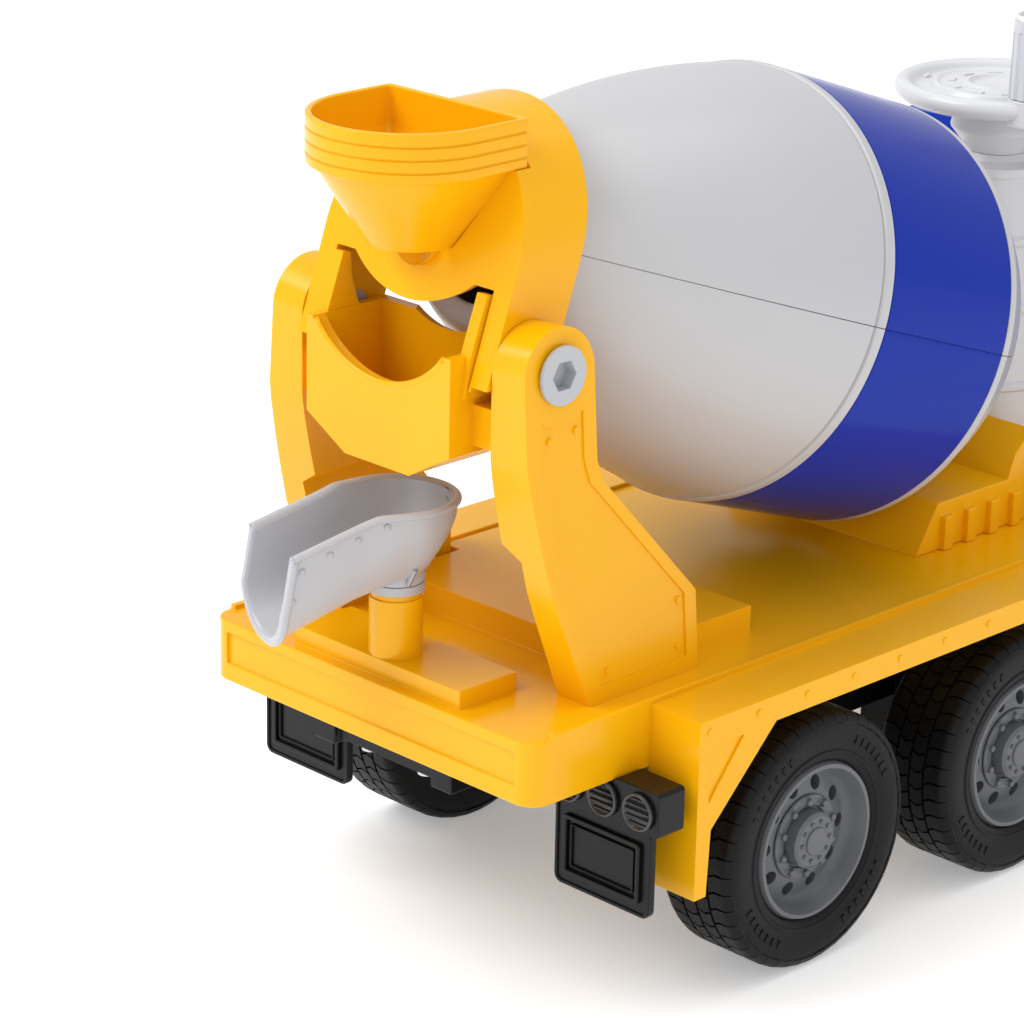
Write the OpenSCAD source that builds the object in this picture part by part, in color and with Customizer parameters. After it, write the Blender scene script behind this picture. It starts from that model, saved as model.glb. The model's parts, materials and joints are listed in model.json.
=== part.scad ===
// Toy cement mixer truck: drum, crank drive, swinging chute and three wheelsets.
// Frame: +X forward, +Y left, +Z up. Origin under the middle of the bounding box.

/* [Deck] */
// Width of the deck plate (mm)
deck_w = 160; // [120:1:200]
// Height of the deck floor above the ground (mm)
deck_z = 110; // [80:1:140]
// Distance from the deck rear face to the front of the deck (mm)
deck_l = 356; // [300:1:420]
// Height of the deck rear face (mm)
deck_face_h = 22.3; // [15:0.1:30]
// Thickness of the deck plate over the wheels (mm)
deck_t = 9.3; // [6:0.1:12]

/* [Fenders] */
// Overall width over the rear fenders (mm)
fender_w = 205; // [180:1:220]
// Distance from the deck rear face to the fender (mm)
fender_x = 55; // [40:1:70]
// Height of the fender lower edge (mm)
fender_z = 46; // [30:1:60]
// Spacing of the fender rivets (mm)
rivet_pitch = 24.4; // [15:0.1:40]

/* [Wheels] */
// Outer radius of the tyres (mm)
tyre_r = 46.7; // [35:0.1:55]
// Width of each tyre (mm)
tyre_w = 33; // [20:0.5:40]
// Overall width over the tyres (mm)
track_w = 202; // [180:1:206]
// Radius of the rim at the tyre bead (mm)
rim_r = 29; // [20:0.5:34]
// Distance from the deck rear face to the first axle (mm)
axle_1_x = 120.5; // [110:0.5:130]
// Distance from the deck rear face to the second axle (mm)
axle_2_x = 235; // [220:0.5:245]
// Distance from the deck rear face to the front axle (mm)
axle_3_x = 432; // [420:0.5:440]
// Radius of the axles (mm)
axle_r = 2.5; // [2:0.1:4]

/* [Drum] */
// Tilt of the drum axis below the horizontal, toward the cab (deg)
tilt = 19; // [10:0.5:25]
// Largest outer radius of the drum (mm)
drum_r = 79.2; // [70:0.1:84]
// Distance from the deck rear face to the rear ring (mm)
drum_x = 168.2; // [160:0.1:175]
// Height of the drum axis at the rear ring (mm)
drum_z = 217; // [212:0.1:222]
// Length of the blue band (mm)
band_l = 70; // [60:1:76]
// Wall thickness of the drum shells (mm)
drum_t = 2.4; // [1.6:0.1:3]
// Radius of the drum mouth (mm)
mouth_r = 25; // [20:0.5:28]

/* [Crank] */
// Distance from the deck rear face to the crank axis (mm)
tower_x = 327; // [322:0.5:332]
// Height of the crank wheel top face (mm)
crank_z = 267; // [264:0.5:272]
// Radius of the crank wheel (mm)
crank_r = 40.6; // [35:0.1:45]
// Distance of the knob from the crank axis (mm)
knob_off = 34.2; // [28:0.1:36]
// Height of the knob grip (mm)
knob_h = 29; // [20:0.5:36]

/* [Chute] */
// Width of the chute channel (mm)
chute_w = 36; // [30:0.5:40]
// Distance from the deck rear face to the chute pivot (mm)
chute_x = 14; // [12:0.5:16]
// Height of the chute rim (mm)
chute_z = 172; // [168:0.5:176]
// Swing of the chute away from the straight-back position (deg)
chute_turn = 18; // [-40:1:40]

/* [Cab] */
// Height of the cab roof above the ground (mm)
cab_z = 234; // [210:1:250]
// Width of the cab (mm)
cab_w = 168; // [150:1:190]

/* [Hidden] */
// Half the gap of a running fit
run = 0.06;
// Furthest points along the length
x_rear = -38.16;
x_front = 503;
x_mid = (x_rear + x_front) / 2;
deck_half = deck_w / 2;
fender_half = fender_w / 2;
track_half = track_w / 2;
shaft_r = 5;
crank_shaft_r = 4;
knob_post_r = 3;
pivot_r = 4.5;
upright_out = 68;
upright_in = 45.6;
lean = atan(0.0652);
pin_x = 28.2;
pin_z = 225.4;
pin_y = 60.4;
arch_r = 45.3;
arch_in = 37.3;
arch_z = 256;
arch_s0 = -150;
arch_s1 = -122.5;
cone_end = -121;
nose_end = 124;
knob_a = -124;
// Bevel pair: both pitch cones share the point where the two axes cross.
gear_s = (tower_x - drum_x) / cos(tilt);
gear_z = drum_z - gear_s * sin(tilt);
gear_half = (90 - tilt) / 2;
gear_gap = 0.3;
gear_lo = 12 * cos(gear_half) + gear_gap;
gear_hi = 20 * cos(gear_half) + gear_gap;
function gear_r(d) = (d - gear_gap) * tan(gear_half);
yellow = [0.98, 0.66, 0.10];
blue = [0.13, 0.25, 0.62];
white = [0.90, 0.90, 0.91];
grey = [0.72, 0.73, 0.75];
dark = [0.12, 0.12, 0.13];
steel = [0.75, 0.76, 0.78];
glass = [0.20, 0.24, 0.28];
amber = [0.95, 0.50, 0.10];

// ---- helpers -------------------------------------------------------------

// Distances along the truck start at the deck rear face.
module at_deck() {
  translate([-x_mid, 0, 0]) children();
}

// Drum frame: local X runs down the drum axis, local Z is square to it.
module at_drum() {
  at_deck() translate([drum_x, 0, drum_z]) rotate([0, tilt, 0]) children();
}

// Turned shapes about the drum axis: local Z runs down the axis.
module about_drum() {
  at_drum() rotate([0, 90, 0]) children();
}

// Prism across the truck from y0 to y1, drawn in the X-Z plane.
module side_prism(y0, y1) {
  translate([0, y1, 0]) rotate([90, 0, 0]) linear_extrude(height = y1 - y0) children();
}

// Prism along the truck from x0 to x1, drawn in the Y-Z plane.
module long_prism(x0, x1) {
  translate([x0, 0, 0]) rotate([90, 0, 90]) linear_extrude(height = x1 - x0) children();
}

// Box given by its low and high corners.
module span_box(lo, hi) {
  translate(lo) cube([hi[0] - lo[0], hi[1] - lo[1], hi[2] - lo[2]]);
}

// Cylinder along Y from y0 to y1.
module bar_y(x, z, r, y0, y1) {
  translate([x, y1, z]) rotate([90, 0, 0]) cylinder(r = r, h = y1 - y0, $fn = 48);
}

// ---- deck and fenders ----------------------------------------------------

module deck_plan(x0, x1, half, r) {
  translate([x0 + r, -half]) square([x1 - x0 - r, 2 * half]);
  translate([x0, -half + r]) square([r, 2 * half - 2 * r]);
  for (s = [-1, 1]) translate([x0 + r, s * (half - r)]) circle(r = r, $fn = 48);
}

module deck() {
  color(yellow) at_deck() {
    difference() {
      union() {
        translate([0, 0, deck_z - deck_face_h])
          linear_extrude(height = deck_face_h) deck_plan(0, 50, deck_half, 8);
        span_box([49, -deck_half, deck_z - deck_t], [deck_l, deck_half, deck_z]);
        span_box([60, -50.2, deck_z - 1], [129, 50.2, deck_z + 10]);
        span_box([92, -58, deck_z - 1], [129, 58, deck_z + 10]);
        span_box([4.6, -41, deck_z - 1], [31, 41, deck_z + 6.5]);
        for (s = [-1, 1]) translate([9, s * (deck_half - 1.3) - 1.3, deck_z - 1])
          cube([deck_l - 9, 2.6, 2.7]);
      }
      // Recessed panel in the rear face.
      span_box([-1, -71.5, deck_z - 15.7], [1.2, 71.5, deck_z - 4.3]);
      // Hollow underside of the rear block.
      span_box([4, -72, deck_z - deck_face_h - 1], [51, 72, deck_z - deck_t]);
    }
  }
}

module fender_outline() {
  polygon([
    [fender_x, fender_z], [60.7, fender_z], [62, 70], [93, deck_z - deck_t],
    [300, deck_z - deck_t], [331, 70], [332.3, fender_z], [338, fender_z],
    [338, deck_z], [fender_x, deck_z]
  ]);
}

module fender(s) {
  y_in = deck_half;
  color(yellow) at_deck() {
    difference() {
      union() {
        // Outer skin.
        side_prism(s > 0 ? fender_half - 2.4 : -fender_half, s > 0 ? fender_half : 2.4 - fender_half)
          fender_outline();
        // Top shelf out to the skin.
        span_box([fender_x, s > 0 ? y_in : 1 - fender_half, deck_z - deck_t],
                 [338, s > 0 ? fender_half - 1 : -y_in, deck_z]);
        // Rear and front closing walls.
        for (x = [fender_x, 335.6])
          span_box([x, s > 0 ? y_in : 1 - fender_half, fender_z],
                   [x + 2.4, s > 0 ? fender_half - 1 : -y_in, deck_z - 1]);
      }
      // Three-cornered recess in the rear panel.
      side_prism(s > 0 ? fender_half - 0.8 : -fender_half - 1, s > 0 ? fender_half + 1 : 0.8 - fender_half)
        polygon([[60.4, deck_z - 9.8], [77, deck_z - 9.8], [60.4, 80]]);
    }
    for (i = [0 : 11])
      bar_y(59.7 + i * rivet_pitch, deck_z - 4.2, 1.3,
            s > 0 ? fender_half - 0.2 : -fender_half - 0.5, s > 0 ? fender_half + 0.5 : 0.2 - fender_half);
  }
}

module fender_right() { fender(-1); }
module fender_left() { fender(1); }

module rear_guard(s) {
  color(dark) at_deck() {
    difference() {
      union() {
        // Flap with a stepped panel.
        span_box([39.4, s > 0 ? 52.2 : -96.2, 41.5], [42.6, s > 0 ? 96.2 : -52.2, 87.7]);
        span_box([38.6, s > 0 ? 56.2 : -92.2, 46], [40, s > 0 ? 92.2 : -56.2, 68]);
        // Lamp box above the flap.
        span_box([36.6, s > 0 ? 80.2 : -101, 73], [50.4, s > 0 ? 101 : -80.2, 89]);
        span_box([36.6, s > 0 ? 51 : -81, 73], [50.4, s > 0 ? 81 : -51, 87.5]);
      }
      span_box([38, s > 0 ? 58.6 : -89.8, 48.4], [39.4, s > 0 ? 89.8 : -58.6, 65.6]);
      for (i = [0 : 2])
        translate([36.1, s * (92.4 - 16.2 * i), 80.6]) rotate([0, 90, 0])
          cylinder(r = 6.6, h = 2, $fn = 48);
    }
  }
}

module rear_guard_right() { rear_guard(-1); }
module rear_guard_left() { rear_guard(1); }

module rear_lamps() {
  color([0.25, 0.25, 0.27]) at_deck()
    for (s = [-1, 1], i = [0 : 2])
      translate([36.6, s * (92.4 - 16.2 * i), 80.6]) rotate([0, 90, 0])
        cylinder(r = 6.4, h = 1.5, $fn = 48);
}

module chute_post() {
  color(yellow) at_deck() difference() {
    union() {
      translate([chute_x, 0, deck_z + 6.5]) cylinder(r = 9.2, h = 20.5, $fn = 64);
      translate([chute_x, 0, deck_z + 26]) cylinder(r = 8.6, h = 3, $fn = 64);
    }
    translate([chute_x, 0, deck_z + 9]) cylinder(r = pivot_r + run, h = 30, $fn = 64);
  }
}

// ---- uprights, pins, collar, hopper and trough ---------------------------

// Heights in the upright outlines start at the deck.
module upright_outline() {
  polygon([
    [38.5, 0], [91, 0], [90.4, 28.2], [46.9, 76.3], [44.4, 83.5], [44.1, 115.4], [12.3, 115.4],
    [12.3, 88], [13.3, 80.5], [15.8, 68], [18.6, 56], [22.2, 42], [26, 31.7]
  ]);
  translate([pin_x, pin_z - deck_z]) circle(r = 15.9, $fn = 64);
}

module upright_panel() {
  difference() {
    polygon([
      [43.9, 5.8], [85.4, 5.8], [84.9, 28.2], [41.1, 76.7], [38.5, 85.5],
      [38.4, 102], [19.4, 102], [18.8, 87.4], [31.6, 38.9]
    ]);
    translate([pin_x, pin_z - deck_z]) circle(r = 16.8, $fn = 64);
  }
}

// Outer face of an upright, which leans in toward the top: local Y is square to it.
module at_face(s) {
  at_deck() translate([0, s * upright_out, deck_z]) rotate([s * lean, 0, 0]) children();
}

// Room for an upright between its stepped inner face and the outside.
module upright_room(s) {
  long_prism(0, 120) polygon([
    [s * upright_in, 300], [s * upright_in, 166.5], [s * 53.5, 161.5],
    [s * 53.5, deck_z], [s * 90, deck_z], [s * 90, 300]
  ]);
}

module upright(s) {
  color(yellow) {
    difference() {
      intersection() {
        at_face(s) side_prism(s > 0 ? -40 : 0, s > 0 ? 0 : 40) upright_outline();
        at_deck() upright_room(s);
      }
      at_face(s) side_prism(s > 0 ? -0.7 : -1, s > 0 ? 1 : 0.7) upright_panel();
      at_deck() bar_y(pin_x, pin_z, 7, -90, 90);
    }
    at_face(s) for (p = [[23.2, 94.2], [35.3, 95.6], [82.2, 26.2], [81.7, 10.2], [47.7, 10.5]])
      bar_y(p[0], p[1], 1.3, s > 0 ? -1 : -0.1, s > 0 ? 0.1 : 1);
  }
}

module upright_right() { upright(-1); }
module upright_left() { upright(1); }

module tilt_pin(s) {
  color(grey) at_deck() difference() {
    union() {
      bar_y(pin_x, pin_z, 7, s > 0 ? 37.5 : -pin_y - 0.2, s > 0 ? pin_y + 0.2 : -37.5);
      bar_y(pin_x, pin_z, 9.9, s > 0 ? pin_y + 0.8 : -pin_y - 2.2, s > 0 ? pin_y + 2.2 : -pin_y - 0.8);
      bar_y(pin_x, pin_z, 6.9, s > 0 ? pin_y : -pin_y - 1, s > 0 ? pin_y + 1 : -pin_y);
    }
    translate([pin_x, s > 0 ? 64 : -58, pin_z]) rotate([90, 0, 0]) cylinder(r = 5.4, h = 6, $fn = 6);
  }
}

module tilt_pin_right() { tilt_pin(-1); }
module tilt_pin_left() { tilt_pin(1); }

module arch_outline(r) {
  translate([0, arch_z]) circle(r = r, $fn = 96);
  translate([-r, 218]) square([2 * r, arch_z - 218]);
}

// D-shaped: a half circle behind a square front.
module hopper_plan(r) {
  translate([17, 0]) {
    intersection() {
      circle(r = r, $fn = 64);
      translate([-r - 1, -r - 1]) square([r + 1.02, 2 * r + 2]);
    }
    translate([0, -r]) square([r - 10, 2 * r]);
  }
}

// Outside of the hopper funnel below its band, grown by g.
module hopper_cone(g) {
  hull() {
    translate([0, 0, 286]) linear_extrude(height = 0.5) hopper_plan(30.5 + g);
    translate([19.5, 0, 258.6 - g]) cylinder(r = 15 + g, h = 1, $fn = 48);
  }
}

module collar() {
  color(yellow) difference() {
    union() {
      intersection() {
        at_deck() long_prism(-10, 100) difference() {
          arch_outline(arch_r);
          arch_outline(arch_in);
        }
        at_drum() span_box([arch_s0, -60, -80], [arch_s1, 60, 60]);
        at_deck() span_box([-10, -60, 219.5], [100, 60, 320]);
      }
      // Rear plate with its hanging lobe.
      intersection() {
        at_deck() long_prism(-10, 100) difference() {
          arch_outline(arch_in + 1);
          polygon([[-37.3, 200], [37.3, 200], [37.3, 249.6], [-37.3, 249.6]]);
        }
        at_drum() span_box([arch_s0, -60, -80], [arch_s0 + 3, 60, 60]);
      }
      intersection() {
        at_deck() long_prism(-10, 100) intersection() {
          translate([0, 284.5]) circle(r = 45, $fn = 96);
          translate([-28.3, 230]) square([56.6, 26]);
        }
        at_drum() span_box([arch_s0, -60, -80], [arch_s0 + 3, 60, 60]);
      }
    }
    at_deck() hopper_cone(0.15);
    at_deck() span_box([-20, -34, 286], [40, 34, 320]);
    // Way through the plate under the hopper spout.
    at_deck() long_prism(-10, 40) translate([0, 260.4]) circle(r = 10, $fn = 64);
    at_deck() bar_y(pin_x, pin_z, 7, -60, 60);
  }
}

module hopper() {
  color(yellow) at_deck() difference() {
    union() {
      translate([0, 0, 286]) linear_extrude(height = 16.4) hopper_plan(33);
      hopper_cone(0);
    }
    translate([0, 0, 287]) linear_extrude(height = 30) hopper_plan(30.8);
    hull() {
      translate([0, 0, 287.2]) linear_extrude(height = 0.5) hopper_plan(28.3);
      translate([19.5, 0, 257.6]) cylinder(r = 12.8, h = 1, $fn = 48);
    }
    // Three shallow grooves round the band.
    for (z = [289.4, 293.6, 297.8])
      translate([0, 0, z]) linear_extrude(height = 0.7) difference() {
        translate([-30, -40]) square([80, 80]);
        hopper_plan(32.5);
      }
  }
}

module trough_outline() {
  polygon([
    [-34.5, 195.6], [-15.5, 185], [15.5, 185], [34.5, 195.6], [34.5, 229], [-34.5, 229]
  ]);
}

module trough() {
  color(yellow) at_deck() {
    difference() {
      long_prism(4.5, 40) trough_outline();
      // Cavity behind the curved lip.
      long_prism(10, 36) polygon([
        [-31.5, 197.4], [-14.5, 188], [14.5, 188], [31.5, 197.4], [31.5, 240], [-31.5, 240]
      ]);
      // Curved lip in the rear wall.
      long_prism(0, 11) translate([0, 252.8]) circle(r = 39.6, $fn = 96);
      // Front wall kept clear of the drum mouth.
      at_trough_clear();
    }
    for (s = [-1, 1])
      span_box([15, s > 0 ? 34.3 : -upright_in, 198], [31, s > 0 ? upright_in : -34.3, 212]);
    for (s = [-1, 1]) difference() {
      side_prism(s > 0 ? 32 : -36.6, s > 0 ? 36.6 : -32)
        polygon([
          [9, 215], [30, 215], [30, 222], [25, 231], [22.6, 239.4], [22, 247.6], [18.6, 248.4],
          [11.2, 228]
        ]);
      at_trough_clear();
    }
  }
}

// Space swept by the drum mouth inside the collar.
module at_trough_clear() {
  translate([drum_x, 0, drum_z]) rotate([0, tilt + 90, 0])
    translate([0, 0, -146.8]) cylinder(r = 35.2, h = 40, $fn = 72);
}

// ---- cradle and tower ----------------------------------------------------

module cradle() {
  color(yellow) at_deck() difference() {
    union() {
      side_prism(-49, 49)
        polygon([[230, deck_z], [241.7, 128.5], [283, 128.5], [287, 138], [296, 146], [296, deck_z]]);
      for (s = [-1, 1], i = [0 : 3])
        side_prism(s > 0 ? 48 : -51.5, s > 0 ? 51.5 : -48)
          polygon([[243.5 + 13.5 * i, deck_z], [243.5 + 13.5 * i, 123.3],
                   [248.5 + 13.5 * i, 123.3], [248.5 + 13.5 * i, deck_z]]);
    }
    translate([drum_x, 0, drum_z]) rotate([0, tilt + 90, 0]) {
      translate([0, 0, 30]) cylinder(r = drum_r + 1.2, h = 46, $fn = 96);
      translate([0, 0, 75.9]) cylinder(r1 = drum_r + 1.2, r2 = 46, h = 50, $fn = 96);
    }
  }
}

module tower_outline() {
  polygon([
    [0, deck_z], [28.6, deck_z], [28.6, 116], [27.6, 117], [26.6, 150], [27.4, 151], [27.4, 153],
    [25.6, 154], [23.4, 180], [24, 181], [24, 183], [22.4, 184], [20.6, 206], [21.2, 207],
    [21.2, 209], [19.6, 210], [18, 232], [18.6, 233], [18.6, 236], [13, 237.4], [11.6, 240], [0, 240]
  ]);
}

module tower() {
  color(white) at_deck() difference() {
    union() {
      translate([tower_x, 0, 0]) rotate_extrude($fn = 96) tower_outline();
      translate([drum_x, 0, drum_z]) rotate([0, tilt + 90, 0])
        translate([0, 0, 130]) cylinder(r = 10.5, h = 18, $fn = 64);
    }
    // Gear chamber.
    translate([tower_x, 0, deck_z + 4]) cylinder(r1 = 25, r2 = 20, h = 66, $fn = 72);
    translate([tower_x, 0, deck_z + 69]) cylinder(r1 = 18, r2 = 14, h = 50, $fn = 72);
    // Bore for the crank shaft.
    translate([tower_x, 0, 225]) cylinder(r = crank_shaft_r + run, h = 40, $fn = 64);
    // Bore for the drum shaft.
    translate([drum_x, 0, drum_z]) rotate([0, tilt + 90, 0])
      translate([0, 0, 120]) cylinder(r = shaft_r + run, h = 38, $fn = 64);
  }
}

module tower_cap() {
  color(white) at_deck() translate([tower_x, 0, 240]) difference() {
    union() {
      cylinder(r1 = 11.6, r2 = 18.4, h = 9, $fn = 72);
      translate([0, 0, 9]) cylinder(r1 = 18.4, r2 = 17, h = 6.6, $fn = 72);
    }
    translate([0, 0, -1]) cylinder(r = crank_shaft_r + run, h = 20, $fn = 64);
  }
}

// ---- chassis frame -------------------------------------------------------

module chassis_frame() {
  color(dark) at_deck() difference() {
    union() {
      for (s = [-1, 1])
        span_box([8, s > 0 ? 24 : -34, 76], [488.2, s > 0 ? 34 : -24, deck_z - deck_t]);
      for (x = [10, 60, 172, 290, 370, 470])
        span_box([x, -34, 78], [x + 12, 34, deck_z - deck_t - 2]);
      for (x = [axle_1_x, axle_2_x, axle_3_x])
        for (s = [-1, 1])
          span_box([x - 9, s > 0 ? 30 : -58, tyre_r - 9], [x + 9, s > 0 ? 58 : -30, 80]);
      for (s = [-1, 1])
        span_box([axle_1_x - 4, s > 0 ? 36 : -46, 56], [axle_2_x + 4, s > 0 ? 46 : -36, 64]);
    }
    for (x = [axle_1_x, axle_2_x, axle_3_x]) bar_y(x, tyre_r, axle_r + run, -70, 70);
  }
}

module fuel_tank() {
  color(steel) at_deck() {
    translate([346, -58, 72]) rotate([0, 90, 0]) cylinder(r = 21, h = 34, $fn = 72);
    span_box([352, -60, 88], [374, -34, 96]);
  }
}

module battery_box() {
  color(dark) at_deck() {
    span_box([346, 38, 54], [380, 78, 92]);
    span_box([350, 34, 80], [376, 39, 90]);
    for (x = [350, 357, 364, 371]) span_box([x, 77, 58], [x + 4, 79, 88]);
  }
}

// ---- cab -----------------------------------------------------------------

module cab_side_outline() {
  polygon([
    [382, 84], [394, 84], [394, 100], [399, 112], [410, 122], [424, 126], [440, 126], [454, 122],
    [465, 112], [470, 100], [470, 84], [494, 84], [496, 100], [494, 160], [487, 170],
    [452, 176], [436, cab_z - 8], [428, cab_z], [374, cab_z], [366, cab_z - 8], [366, 101], [382, 101]
  ]);
}

module windscreen_opening() {
  polygon([[-74, 182], [74, 182], [66, 224], [-66, 224]]);
}

module side_window_opening() {
  polygon([[382, 178], [442, 178], [428, 222], [382, 222]]);
}

module cab_shell() {
  cab_half = cab_w / 2;
  color(blue) at_deck() difference() {
    union() {
      side_prism(-cab_half, cab_half) cab_side_outline();
      // Flared front arches.
      for (s = [-1, 1])
        side_prism(s > 0 ? cab_half - 2 : -cab_half - 14, s > 0 ? cab_half + 14 : 2 - cab_half)
          difference() {
            translate([axle_3_x, tyre_r + 26]) circle(r = 62, $fn = 96);
            translate([axle_3_x, tyre_r + 26]) circle(r = 56, $fn = 96);
            translate([axle_3_x - 70, 0]) square([140, 84]);
          }
    }
    // Cabin, open below.
    side_prism(-cab_half + 4, cab_half - 4)
      polygon([[370, 130], [450, 130], [450, 172], [433, cab_z - 8], [372, cab_z - 8], [370, cab_z - 10]]);
    // Window openings.
    side_prism(-cab_half - 1, cab_half + 1)
      side_window_opening();
    long_prism(425, 460) windscreen_opening();
    // Underbody hollow for the frame and wheels.
    span_box([360, -60, 60], [489, 60, deck_z - deck_t]);
    for (s = [-1, 1])
      bar_y(axle_3_x, tyre_r, tyre_r + 5, s > 0 ? 55 : -cab_half - 20, s > 0 ? cab_half + 20 : -55);
    // Grille and lamp seats.
    long_prism(490, 500) polygon([[-40, 104], [40, 104], [40, 156], [-40, 156]]);
    for (s = [-1, 1])
      translate([488, s * 60, 126]) rotate([0, 90, 0]) cylinder(r = 12, h = 20, $fn = 64);
    // Door shut lines.
    for (s = [-1, 1])
      side_prism(s > 0 ? cab_half - 0.6 : -cab_half - 1, s > 0 ? cab_half + 1 : 0.6 - cab_half)
        difference() {
          polygon([[378, 128], [446, 128], [446, 176], [431, 226], [378, 226]]);
          polygon([[379, 129], [445, 129], [445, 175.8], [430, 225], [379, 225]]);
        }
  }
}

module cab_windscreen() {
  color(glass) at_deck() intersection() {
    long_prism(425, 460) windscreen_opening();
    side_prism(-80, 80) polygon([[448.6, 182], [451.6, 182], [440, 226], [437, 226]]);
  }
}

module cab_window(s) {
  cab_half = cab_w / 2;
  color(glass) at_deck()
    side_prism(s > 0 ? cab_half - 3 : 1 - cab_half, s > 0 ? cab_half - 1 : 3 - cab_half)
      side_window_opening();
}

module cab_windows() {
  cab_window(-1);
  cab_window(1);
}

module grille() {
  color(steel) at_deck() difference() {
    span_box([490, -39.8, 104.2], [497, 39.8, 155.8]);
    for (i = [0 : 7]) span_box([494.5, -36, 107 + 6 * i], [498, 36, 110 + 6 * i]);
  }
}

module bumper() {
  color(white) at_deck() difference() {
    union() {
      span_box([488.2, -84, 62], [500, 84, 84]);
      span_box([499, -60, 66], [x_front, 60, 80]);
    }
    for (s = [-1, 1])
      translate([x_front - 1, s * 44, 73]) rotate([0, 90, 0]) cylinder(r = 5, h = 4, $fn = 48);
  }
}

module headlamps() {
  color([0.9, 0.93, 0.95]) at_deck() for (s = [-1, 1])
    translate([488, s * 60, 126]) rotate([0, 90, 0]) {
      cylinder(r = 11.8, h = 8, $fn = 64);
      translate([0, 0, 7.9]) cylinder(r1 = 11, r2 = 8, h = 2, $fn = 64);
    }
}

module roof_lamps() {
  color(amber) at_deck() for (i = [-2 : 2])
    translate([418, 26 * i, cab_z]) {
      cylinder(r = 5, h = 3, $fn = 48);
      translate([0, 0, 2.9]) cylinder(r1 = 4.6, r2 = 3, h = 2, $fn = 48);
    }
}

module mirror(s) {
  color(dark) at_deck() {
    bar_y(444, 188, 1.6, s > 0 ? cab_w / 2 : -98, s > 0 ? 98 : -cab_w / 2);
    span_box([441, s > 0 ? 92 : -102, 172], [447, s > 0 ? 102 : -92, 206]);
  }
}

module mirror_right() { mirror(-1); }
module mirror_left() { mirror(1); }

module exhaust() {
  color(steel) at_deck() {
    translate([361, -70, deck_z - 9]) cylinder(r = 4.5, h = 60, $fn = 48);
    translate([361, -70, deck_z + 50.9]) cylinder(r = 3.4, h = 86, $fn = 48);
    for (z = [118, 150, 200]) span_box([360, -72, z], [366, -68, z + 4]);
  }
}

module frame_screws() {
  color(steel) at_deck()
    for (x = [16, 66, 178, 296], s = [-1, 1])
      translate([x, s * 14, 75.4]) difference() {
        cylinder(r = 3.2, h = 2.6, $fn = 36);
        translate([-0.5, -2.6, -1]) cube([1, 5.2, 2]);
        translate([-2.6, -0.5, -1]) cube([5.2, 1, 2]);
      }
}

// ---- drum ----------------------------------------------------------------

function cone_u(s) = (s - cone_end) / -cone_end;
function cone_r(s) = 34 + (drum_r - 34) * cone_u(s) + 25.6 * cone_u(s) * (1 - cone_u(s));

module drum_profile() {
  polygon([
    [mouth_r, cone_end], [cone_r(-121), cone_end], [cone_r(-100), -100], [cone_r(-80), -80],
    [cone_r(-60), -60], [cone_r(-40), -40], [cone_r(-20), -20], [77, -5.4], [78.6, -5],
    [drum_r, -3.6], [drum_r, 0], [78.2, 0], [78.2, band_l], [drum_r, band_l], [drum_r, 73.4], [78.4, 74.6],
    [75, 80], [67, 94], [54, 110], [40, nose_end], [12, nose_end], [12, nose_end - drum_t],
    [38.6, nose_end - drum_t], [52, 108.6], [65, 92.4], [72.4, 80], [75.4, 74],
    [75.4, -4], [73.4, -6], [cone_r(-20) - drum_t - 0.4, -20], [cone_r(-40) - drum_t - 0.4, -40],
    [cone_r(-60) - drum_t - 0.6, -60], [cone_r(-80) - drum_t - 0.6, -80],
    [cone_r(-100) - drum_t - 0.6, -100], [31, cone_end + drum_t], [mouth_r, cone_end + drum_t]
  ]);
}

module drum_half(sgn) {
  color(white) intersection() {
    about_drum() rotate_extrude($fn = 96) drum_profile();
    at_drum() translate([-160, -100, sgn > 0 ? 0 : -100]) cube([320, 200, 100]);
  }
}

module drum_shell_upper() { drum_half(1); }
module drum_shell_lower() { drum_half(-1); }

module drum_band(sgn) {
  color(blue) intersection() {
    about_drum() translate([0, 0, 0.02]) difference() {
      cylinder(r = drum_r - 0.05, h = band_l - 0.04, $fn = 96);
      translate([0, 0, -1]) cylinder(r = 78.2, h = band_l + 2, $fn = 96);
    }
    at_drum() translate([-160, -100, sgn > 0 ? 0 : -100]) cube([320, 200, 100]);
  }
}

module drum_band_upper() { drum_band(1); }
module drum_band_lower() { drum_band(-1); }

module drum_shaft() {
  color(grey) about_drum() {
    translate([0, 0, 118]) cylinder(r = 12, h = nose_end - 118, $fn = 64);
    translate([0, 0, nose_end - 0.1]) cylinder(r = 9, h = 4, $fn = 64);
    translate([0, 0, nose_end]) cylinder(r = shaft_r, h = gear_s - gear_hi - nose_end, $fn = 64);
    translate([0, 0, gear_s - gear_hi - 3]) cylinder(r = 8, h = 3.1, $fn = 64);
    translate([0, 0, gear_s - gear_hi])
      cylinder(r1 = gear_r(gear_hi), r2 = gear_r(gear_lo), h = gear_hi - gear_lo, $fn = 72);
  }
}

// ---- crank ---------------------------------------------------------------

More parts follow.
